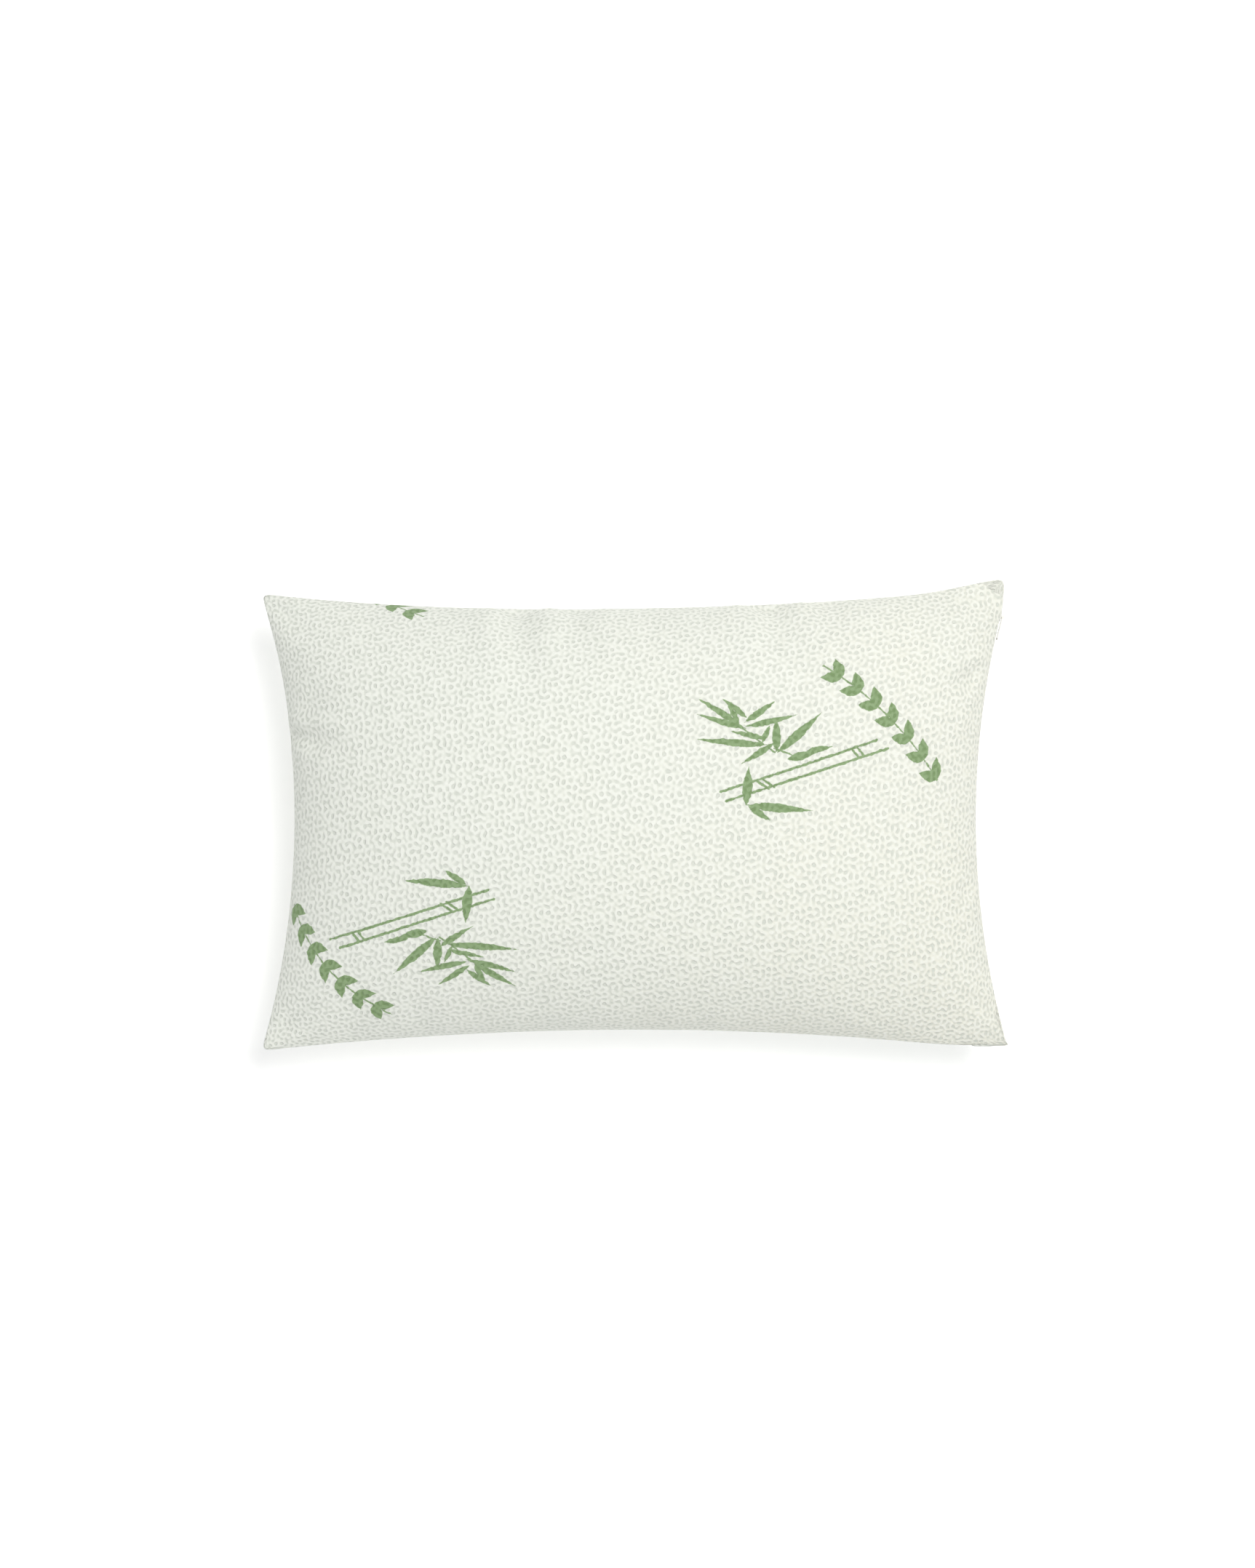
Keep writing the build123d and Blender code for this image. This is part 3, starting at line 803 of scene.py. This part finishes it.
def knitMaterial():
    # quilted knit: worm-like ridges a few millimetres apart, fine loops, and the printed sprigs
    fixed = {"Roughness": 0.85, "Sheen Weight": 0.12, "Sheen Roughness": 0.5, "Specular IOR Level": 0.25}
    material, wire, uv, shader = startMaterial("printedKnit", fixed, "cut")
    cut = wire.vector("ADD", uv, (0, 0, 1))
    drift = wire.grain(uv, 0.016, 1.0, "Color")
    cells = wire.vector("MULTIPLY_ADD", drift, (knit["warp"], knit["warp"], 0), cut)
    total = None
    for k in range(knit["waves"]):
        way = pi * (k + random.uniform(-0.35, 0.35)) / knit["waves"]
        turn = 2 * pi / (knit["repeat"] * random.uniform(0.74, 1.28))
        one = cells.linear(turn * cos(way), turn * sin(way), random.uniform(0, 2 * pi)).wave()
        total = one if total is None else total + one
    total = total / sqrt(knit["waves"] / 2)
    ridge = total.fade(-1.7, 0.9)  # puffed ridges with narrower sunken stitches between them
    ply = wire.grain(uv, 0.0011, 2.0)
    across = wire.maths("PINGPONG", cut.linear(1, 0), knit["stitch"] / 2)
    loops = ((cut.linear(0, 1) + across * 0.9) * (2 * pi / (0.8 * knit["stitch"]))).wave()
    broad = wire.grain(uv, 0.11, 2.0)
    # creamier towards one corner of the cut and in broad patches: partly the cloth's own tone, partly painted
    # warm light
    creamAndWarmLight = (cut.linear(1.1, -0.5, 0.45) + broad * 0.5 - 0.25).fade(0.1, 1.3)
    base = creamAndWarmLight.blend(knit["base"], knit["cream"])
    cloud = wire.grain(uv, knit["cloud"], 1.0)
    # painted highlight and shade: the colour is lighter on puffed ridges and darker in sunken stitches, plus
    # random clouding
    light = (ridge - knit["balance"]) * knit["contrast"] + (cloud - 0.5) * knit["cloudContrast"]
    colour = light.maths("MULTIPLY", light, 1.0, clamp=True).blend(base, knit["ridge"])
    colour = (0 - light).maths("MULTIPLY", 0 - light, 1.0, clamp=True).blend(colour, knit["pitShade"])
    # painted highlight and shade on the print: lighter ink on puffed ridges, darker ink in sunken stitches
    ink = ridge.blend(sprigPrint["ink"], sprigPrint["inkOnLitRidges"])
    waver = wire.grain(uv, 0.0045, 2.0)
    p = sprigPrint
    depth = sprigDepth(wire, cut) + (ridge - 0.5) * p["bleed"] + (waver - 0.5) * p["waver"]
    printed = depth.fade(-p["edge"], p["edge"]) * (0.88 + ply * 0.16)
    colour = printed.blend(colour, ink)
    rough = 0.92 - ridge * 0.1 - printed * 0.08
    height = ridge + loops * 0.06 + ply * 0.25
    plug(shader, Base_Color=colour, Roughness=rough, Normal=wire.bump(height, knit["relief"], 0.9))
    return material


def yarnMaterial(name, colour, shade, size, relief):
    # spun thread: fine slubs and a soft gloss
    fixed = {"Roughness": 0.6, "Sheen Weight": 0.25, "Specular IOR Level": 0.4}
    material, wire, place, shader = startMaterial(name, fixed)
    slub = wire.grain(place, size, 3.0)
    broad = wire.grain(place, size * 12, 1.0)
    tone = slub * 0.6 + broad * 0.4
    twist = (place.linear(2600, 5200, 3900) + slub * 3).wave()
    plug(shader, Base_Color=tone.fade(0.3, 0.7).blend(colour, shade), Roughness=0.5 + slub * 0.3,
         Normal=wire.bump(slub + twist * 0.3, relief))
    return material


def tapeMaterial():
    # herringbone tape: ribs lean one way and then the other every few millimetres
    fixed = {"Roughness": 0.75, "Sheen Weight": 0.15, "Specular IOR Level": 0.3}
    material, wire, place, shader = startMaterial("wovenTape", fixed)
    band = wire.maths("PINGPONG", place.linear(0, 0, 1), 0.0022)
    rib = ((place.linear(0, 1, 0) + band * 0.8) * (2 * pi / 0.0008)).wave() * 0.5 + 0.5
    fuzz = wire.grain(place, 0.0006, 2.0)
    tone = rib * 0.7 + fuzz * 0.3
    plug(shader, Base_Color=tone.blend((0.62, 0.63, 0.57), (0.83, 0.83, 0.78)), Roughness=0.85 - rib * 0.15,
         Normal=wire.bump(rib + fuzz * 0.4, 0.00018))
    return material


def coilMaterial():
    # milky nylon filament with faint draw marks
    fixed = {"Roughness": 0.35, "Subsurface Weight": 0.12, "Subsurface Scale": 0.001, "IOR": 1.53}
    material, wire, place, shader = startMaterial("nylonCoil", fixed)
    marks = wire.grain(place, 0.0009, 3.0)
    plug(shader, Base_Color=marks.fade(0.3, 0.7).blend((0.76, 0.77, 0.71), (0.88, 0.88, 0.83)),
         Roughness=0.26 + marks * 0.25, Normal=wire.bump(marks, 0.00005))
    return material


def enamelMaterial():
    # off-white enamel on zinc, rubbed through along the edges
    fixed = {"Coat Roughness": 0.12, "IOR": 1.5}
    material, wire, place, shader = startMaterial("rubbedEnamel", fixed)
    edge = wire.node("ShaderNodeNewGeometry", {}, (), "Pointiness")
    rubs = wire.grain(place, 0.0012, 4.0)
    orange = wire.grain(place, 0.0004, 2.0)
    bare = (edge + rubs * 0.16 - 0.08).fade(0.545, 0.60)
    enamel = rubs.fade(0.3, 0.75).blend((0.70, 0.71, 0.67), (0.80, 0.80, 0.76))
    plug(shader, Base_Color=bare.blend(enamel, (0.52, 0.50, 0.46)), Metallic=bare,
         Roughness=0.28 + rubs * 0.15 + bare * 0.1, Coat_Weight=0.4 - bare * 0.4,
         Normal=wire.bump(orange + rubs * 0.5, 0.00004))
    return material


def ribbonMaterial():
    # blank satin ribbon: long floats across it and a firmer selvedge weave
    fixed = {"Roughness": 0.45, "Sheen Weight": 0.3, "Specular IOR Level": 0.5}
    material, wire, place, shader = startMaterial("satinRibbon", fixed)
    floats = (place.linear(0, 0, 2 * pi / 0.00035)).wave() * 0.5 + 0.5
    slub = wire.grain(place, 0.0012, 3.0)
    plug(shader, Base_Color=(floats * 0.4 + slub * 0.6).blend((0.80, 0.80, 0.78), (0.93, 0.93, 0.92)),
         Roughness=0.36 + slub * 0.2, Normal=wire.bump(floats + slub, 0.00006))
    return material


def linerMaterial():
    # spunbonded liner: matted fibres pressed together in rows of small dots
    fixed = {"Roughness": 0.8, "Sheen Weight": 0.2, "Specular IOR Level": 0.3}
    material, wire, uv, shader = startMaterial("spunbondLiner", fixed, "cut")
    cut = wire.vector("ADD", uv, (0, 0, 1))
    turn = 2 * pi / 0.0026
    dots = (cut.linear(turn, turn).wave() * cut.linear(turn, -turn).wave()).fade(0.35, 0.75)
    fibres = wire.grain(uv, 0.0012, 5.0)
    broad = wire.grain(uv, 0.03, 2.0)
    tone = fibres * 0.6 + broad * 0.4 - dots * 0.18
    plug(shader, Base_Color=tone.fade(0.1, 0.75).blend((0.70, 0.71, 0.70), (0.90, 0.90, 0.885)),
         Roughness=0.85 - dots * 0.25, Normal=wire.bump(fibres * 0.7 - dots, 0.0002))
    return material


def crumbMaterial():
    # shredded foam: crumbs of cream, white and butter yellow, full of pores
    fixed = {"Roughness": 0.95, "Specular IOR Level": 0.15}
    material, wire, place, shader = startMaterial("shreddedFoam", fixed)
    settings = {"voronoi_dimensions": "3D", "feature": "F1"}
    values = {"Vector": place, "Scale": 75, "Randomness": 1.0}
    near = wire.node("ShaderNodeTexVoronoi", settings, values, "Distance")
    kind = Wire(wire.tree, near.socket.node.outputs["Color"])
    kind = wire.node("ShaderNodeSeparateColor", {}, [kind])
    stops = [
        (0.0, (0.86, 0.80, 0.62)),
        (0.35, (0.90, 0.87, 0.76)),
        (0.7, (0.84, 0.74, 0.48)),
        (0.9, (0.93, 0.92, 0.88)),
    ]
    ramp = wire.node("ShaderNodeValToRGB", {"stops": stops}, [kind])
    pores = wire.grain(place, 0.0012, 3.0)
    # painted shade: a darker tan in the pores and in the gaps between crumbs
    poreAndGapShade = (pores.fade(0.55, 0.7) * 0.5 + near.fade(0.55, 0.95) * 0.5)
    plug(shader, Base_Color=poreAndGapShade.blend(ramp, (0.55, 0.47, 0.30)), Roughness=0.9 + pores * 0.08,
         Normal=wire.bump(pores * 0.25 - near, 0.003))
    return material


def floorMaterial():
    # plain pale paper sweep
    fixed = {"Roughness": 0.95, "Specular IOR Level": 0.05, "Emission Strength": 0.22,
             "Emission Color": (1, 1, 1, 1)}
    material, wire, place, shader = startMaterial("paleFloor", fixed)
    mottle = wire.grain(place, 0.5, 2.0)
    plug(shader, Base_Color=mottle.blend((0.955, 0.957, 0.955), (0.975, 0.975, 0.972)))
    return material


def dress(piece, material):
    piece.data.materials.clear()
    piece.data.materials.append(material)
    return piece


print("materials")
knitCloth = knitMaterial()
thread = yarnMaterial("whiteThread", (0.80, 0.80, 0.76), (0.90, 0.90, 0.87), 0.0007, 0.00008)
tape, coil, enamel = tapeMaterial(), coilMaterial(), enamelMaterial()
ribbon, spunbond, crumbs = ribbonMaterial(), linerMaterial(), crumbMaterial()

print("cover panels")
skins = {}
for half, side, rise in (("front", 1, cover["frontRise"]), ("back", -1, cover["backDrop"])):
    mesh, flat = panelMesh("cover_" + half, side, rise)
    mesh = inflate(mesh, flat)
    shapePanel(mesh, side, rise)
    skins[half] = mesh
    panel = coverPanel("knit_cover_" + half, mesh.copy(), side)
    dress(panel, knitCloth)
    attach(panel, "pillow")
    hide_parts(f"cover_{half}_panel")

print("liner and fill")
for half, side in (("front", 1), ("back", -1)):
    lining = innerCopy("liner_" + half, [skins[half]], **linerSkin)
    wall = lining.modifiers.new("liner thickness", "SOLIDIFY")
    wall.thickness, wall.offset = linerThickness, -1
    dress(lining, spunbond)
    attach(lining, "pillow")
    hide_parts(f"liner_{half}_panel")
fill = innerCopy("foam_crumbs", [skins["front"], skins["back"]], **foamSkin)
dress(fill, crumbs)
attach(fill, "pillow")
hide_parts("foam_fill")

print("zip")
for half, side in (("front", 1), ("back", -1)):
    for piece, material, slot, node in (
        (zipCoil("coil_" + half, side), coil, "zipper_coil", "zipper_coil_" + half),
        (zipTape("tape_" + half, side), tape, "zipper_tape", "zipper_tape_" + half),
        (stitchRow("tape_stitches_" + half, side), thread, "thread", "zipper_stitching_" + half),
    ):
        dress(piece, material)
        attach(piece, "pillow")
        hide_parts(node)
for end, side in (("closed", 1), ("open", -1)):
    bar = dress(endTack(f"bar_tack_{end}_end", side), thread)
    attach(bar, "pillow")
    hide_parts(f"zipper_{end}_end_tack")
for node in ("slider_body", "pull_tab"):
    dress(frame["nodes"][node], enamel)

print("overlock threads and labels")
# each side's share that is overlocked; the cover's right side has the zip instead
coverShares = (("top", 0.9), ("left", 0.86), ("bottom", 0.9))
linerShares = (("top", 0.93), ("left", 0.92), ("bottom", 0.93), ("right", 0.92))
threeSides = [sidePath(name, -k, k) for name, k in coverShares]
allRound = [sidePath(name, -k, k) for name, k in linerShares]
serge = serging("cover_serging", threeSides, **coverSerge)
innerSerge = serging("liner_serging", allRound, **linerSerge)
for piece, node in ((serge, "cover_overlock_thread"), (innerSerge, "liner_overlock_thread")):
    dress(piece, thread)
    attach(piece, "pillow")
    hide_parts(node)
careLabel = foldedLabel("care_label", **careStrip)
lawLabel = foldedLabel("law_label", **lawStrip)
for piece, node in ((careLabel, "cover_care_label"), (lawLabel, "liner_law_label")):
    dress(piece, ribbon)
    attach(piece, "pillow")
    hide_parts(node)

print("floor, lights and camera")
studio = {
    "floorSize": 14,
    "sky": 0.51,
    "cameraHeight": 4.0,  # over the seam plane
    "viewHeight": 1.455,  # of the seam plane, in metres
    "viewMiddle": (-0.007, 0.032),
    "lights": [
        # name, place, aimed at, width, height, watts, colour
        ("key", (0.95, 1.0, 3.0), (0, 0, 0.05), 1.5, 1.5, 59, (1.0, 0.99, 0.965)),
        ("fill", (-0.9, -1.3, 3.0), (0, 0, 0.05), 2.6, 2.6, 20, (0.97, 0.985, 1.0)),
    ],
}
bpy.ops.mesh.primitive_grid_add(x_subdivisions=8, y_subdivisions=8, size=studio["floorSize"])
floorPiece = bpy.context.object
floorPiece.name = "studio_floor"
dress(floorPiece, floorMaterial())

for name, place, aim, width, height, watts, colour in studio["lights"]:
    lamp = bpy.data.lights.new(name, "AREA")
    lamp.shape, lamp.size, lamp.size_y = "RECTANGLE", width, height
    lamp.energy, lamp.color = watts, colour
    holder = bpy.data.objects.new(name, lamp)
    holder.location = place
    holder.rotation_euler = (Vector(aim) - Vector(place)).to_track_quat("-Z", "Y").to_euler()
    bpy.context.scene.collection.objects.link(holder)

world = bpy.data.worlds.new("studio")
world.use_nodes = True
world.node_tree.nodes["Background"].inputs["Color"].default_value = (0.985, 0.99, 1.0, 1)
world.node_tree.nodes["Background"].inputs["Strength"].default_value = studio["sky"]
bpy.context.scene.world = world
bpy.context.scene.view_settings.view_transform = "Standard"

camera = bpy.data.cameras.new("overhead")
camera.sensor_width = 36
camera.lens = 36 * studio["cameraHeight"] / studio["viewHeight"]
viewpoint = bpy.data.objects.new("overhead", camera)
viewpoint.location = (*studio["viewMiddle"], seamZ + studio["cameraHeight"])
bpy.context.scene.collection.objects.link(viewpoint)
bpy.context.scene.camera = viewpoint
